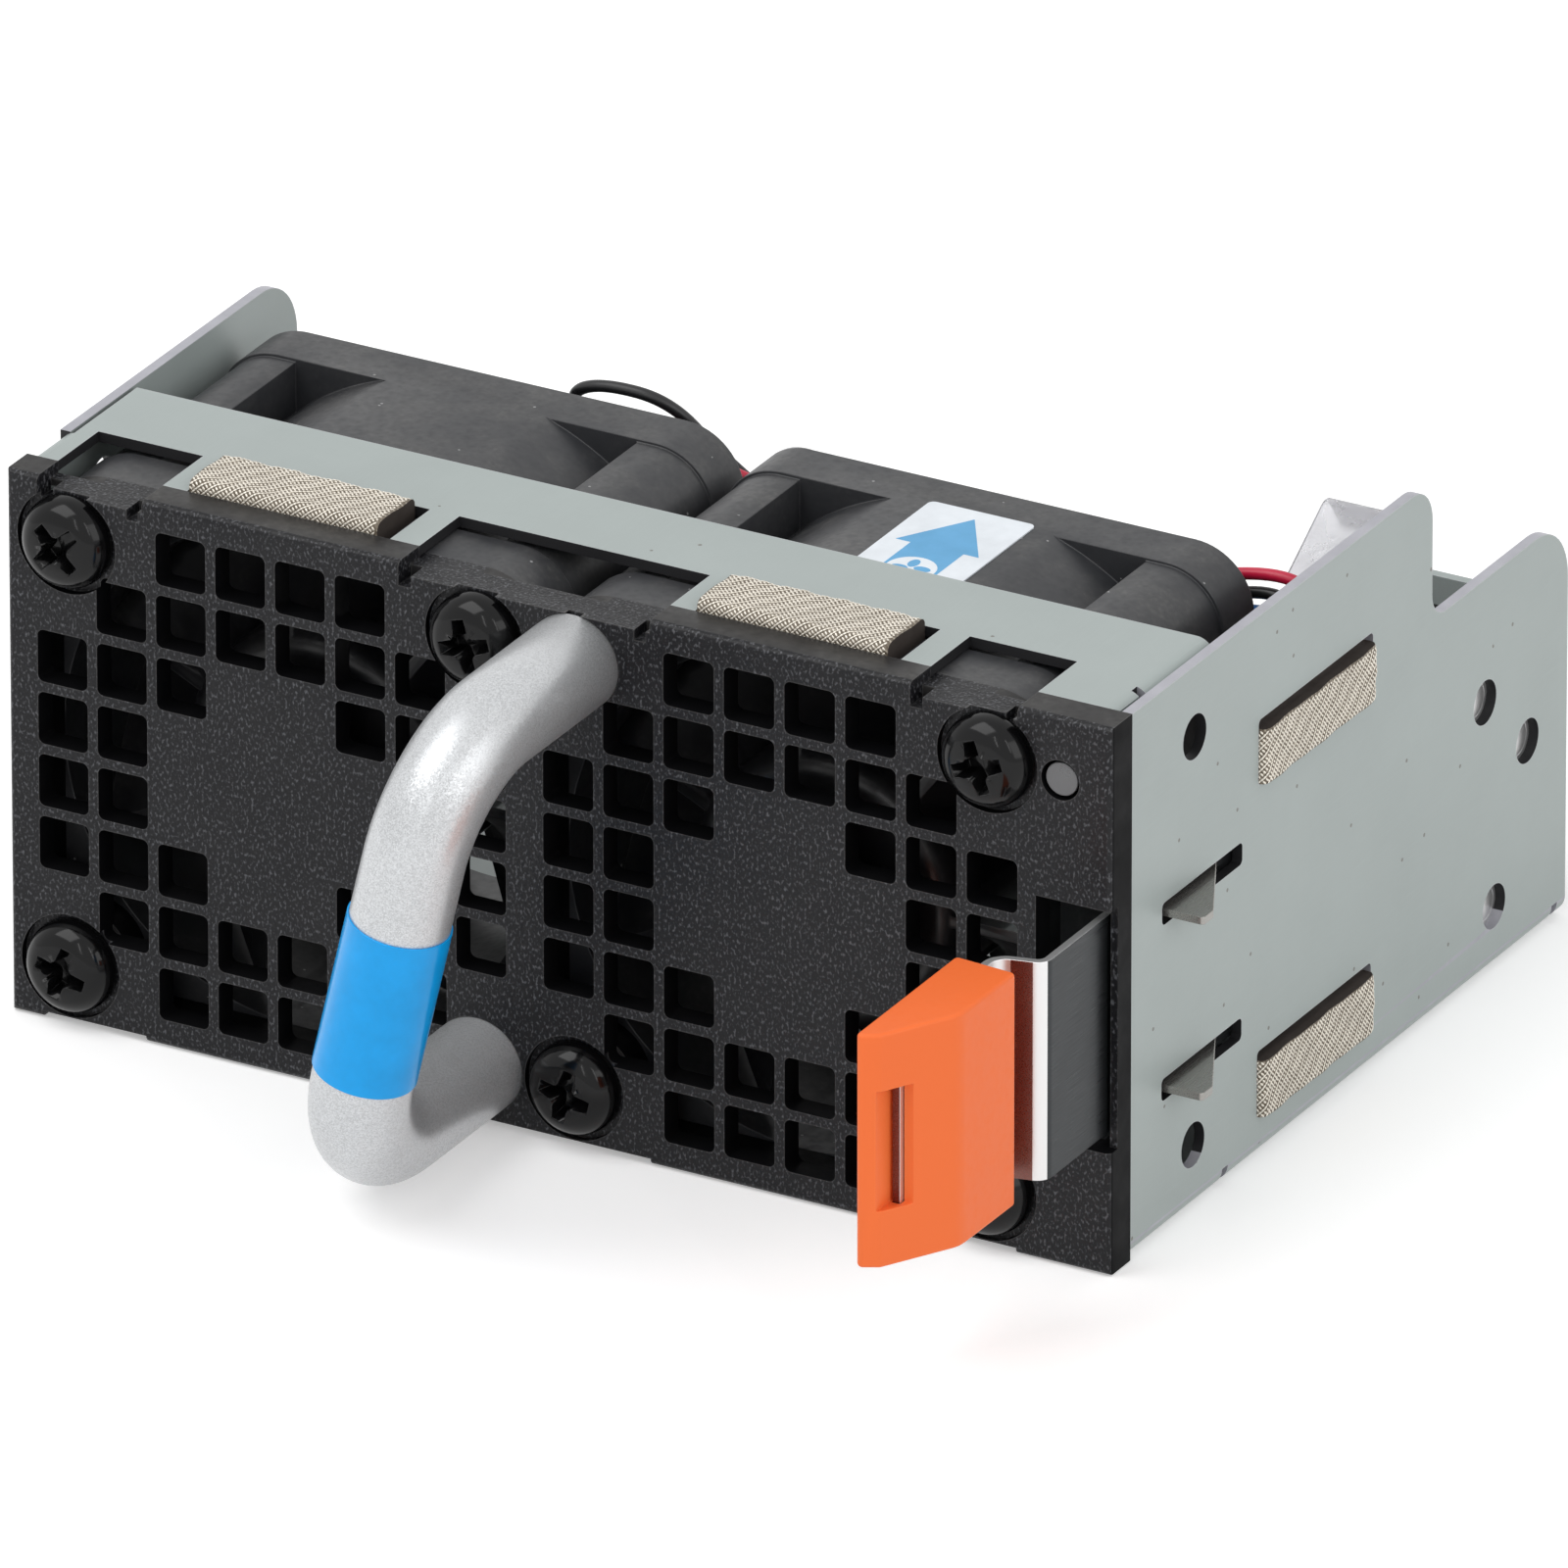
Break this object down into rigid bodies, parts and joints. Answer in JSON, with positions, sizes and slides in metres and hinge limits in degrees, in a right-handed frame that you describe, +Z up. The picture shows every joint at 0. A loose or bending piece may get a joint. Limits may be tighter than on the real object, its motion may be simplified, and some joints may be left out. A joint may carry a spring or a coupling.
{
  "type": "fan module",
  "caption": "Hot-swap fan module: axial fans side by side in a folded sheet tray behind a grille panel with a bar handle and a spring latch.",
  "frame": {"origin": "middle of the tray's floor, on its underside", "axes": "+Z up, +Y the way the air blows, from the panel to the back, +X to the right seen from the front"},
  "size_m": [0.091, 0.0922, 0.0427],
  "materials": {
    "sheet_steel": "grey-green galvanised sheet, satin",
    "panel_plastic": "black moulded plastic with a fine spark-eroded grain",
    "black_screw": "gloss black plated steel",
    "silver_paint": "silver metallic paint with a fine sparkle",
    "blue_plastic": "glossy blue sleeve",
    "spring_steel": "bright stainless spring strip",
    "orange_plastic": "satin orange plastic",
    "conductive_fabric": "beige metallised weave over foam",
    "clear_plastic": "clear light pipe",
    "label_film": "white film with a blue airflow arrow",
    "clear_film": "clear polyester film",
    "bright_steel": "bright steel",
    "gold_contact": "gold-plated contacts",
    "fan_plastic": "dark grey glass-filled plastic",
    "magnet": "bonded ferrite",
    "copper_winding": "enamelled copper",
    "circuit_board": "green circuit board",
    "red_lead": "red insulation",
    "black_lead": "black insulation",
    "blue_lead": "blue insulation"
  },
  "bodies": {
    "module": {"chassis": "sheet_steel", "front_panel": "panel_plastic", "panel_screws": "black_screw", "handle": "silver_paint", "handle_band": "blue_plastic", "handle_screws": "black_screw", "latch_root": "spring_steel", "gasket_top_left": "conductive_fabric", "gasket_top_right": "conductive_fabric", "gasket_side_lower": "conductive_fabric", "gasket_side_upper": "conductive_fabric", "light_pipe": "clear_plastic", "airflow_label": "label_film", "lead_guard": "clear_film", "connector_bracket": "sheet_steel", "standoff_barrels": "bright_steel", "bracket_screws": "bright_steel", "connector_housing": "panel_plastic", "connector_contacts": "gold_contact", "fan_frame_left": "fan_plastic", "bearings_left": "bright_steel", "stator_core_left": "bright_steel", "stator_coils_left": "copper_winding", "motor_board_left": "circuit_board", "lead_left_red": "red_lead", "lead_left_black": "black_lead", "lead_left_blue": "blue_lead", "fan_frame_right": "fan_plastic", "bearings_right": "bright_steel", "stator_core_right": "bright_steel", "stator_coils_right": "copper_winding", "motor_board_right": "circuit_board", "lead_right_red": "red_lead", "lead_right_black": "black_lead", "lead_right_blue": "blue_lead"},
    "latch": {"latch_leaf": "spring_steel", "latch_tab": "orange_plastic"},
    "impeller_left": {"impeller_left": "fan_plastic", "rotor_shaft_left": "bright_steel", "rotor_yoke_left": "bright_steel", "rotor_magnet_left": "magnet"},
    "impeller_right": {"impeller_right": "fan_plastic", "rotor_shaft_right": "bright_steel", "rotor_yoke_right": "bright_steel", "rotor_magnet_right": "magnet"}
  },
  "joints": [
    {"name": "impeller_left_spin", "type": "hinge", "parent": "module", "child": "impeller_left", "pos_m": [-0.02275, -0.017, 0.02092], "axis": [0, 1, 0], "continuous": true},
    {"name": "impeller_right_spin", "type": "hinge", "parent": "module", "child": "impeller_right", "pos_m": [0.01785, -0.017, 0.02092], "axis": [0, 1, 0], "continuous": true},
    {"name": "latch_press", "type": "hinge", "parent": "module", "child": "latch", "pos_m": [0.0428, 0.00615, 0.01865], "axis": [0, 0, -1], "range_deg": [0, 5.5], "stiffness_Nm_per_rad": 1.5}
  ]
}
